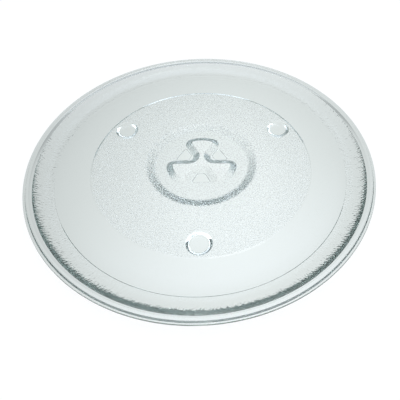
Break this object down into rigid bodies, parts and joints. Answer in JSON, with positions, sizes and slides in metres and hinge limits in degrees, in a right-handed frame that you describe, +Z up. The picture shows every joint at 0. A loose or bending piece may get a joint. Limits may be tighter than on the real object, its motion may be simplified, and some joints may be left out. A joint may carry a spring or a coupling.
{
  "type": "microwave turntable plate",
  "caption": "Round pressed-glass turntable plate: shallow dish with a raised rim, smooth roller track, feet and a lobed drive socket under its hub.",
  "frame": {"origin": "under the plate's centre, on the surface that its feet stand on", "axes": "+Z up out of the dish, along the axis that the plate turns about; one foot lies on -Y and one socket lobe points along +Y"},
  "size_m": [0.27, 0.27, 0.0147],
  "materials": {
    "glass": "clear pressed glass, smooth above, stippled on the disc, hub and rim underneath"
  },
  "bodies": {
    "root": {"glass_plate": "glass"}
  },
  "joints": []
}
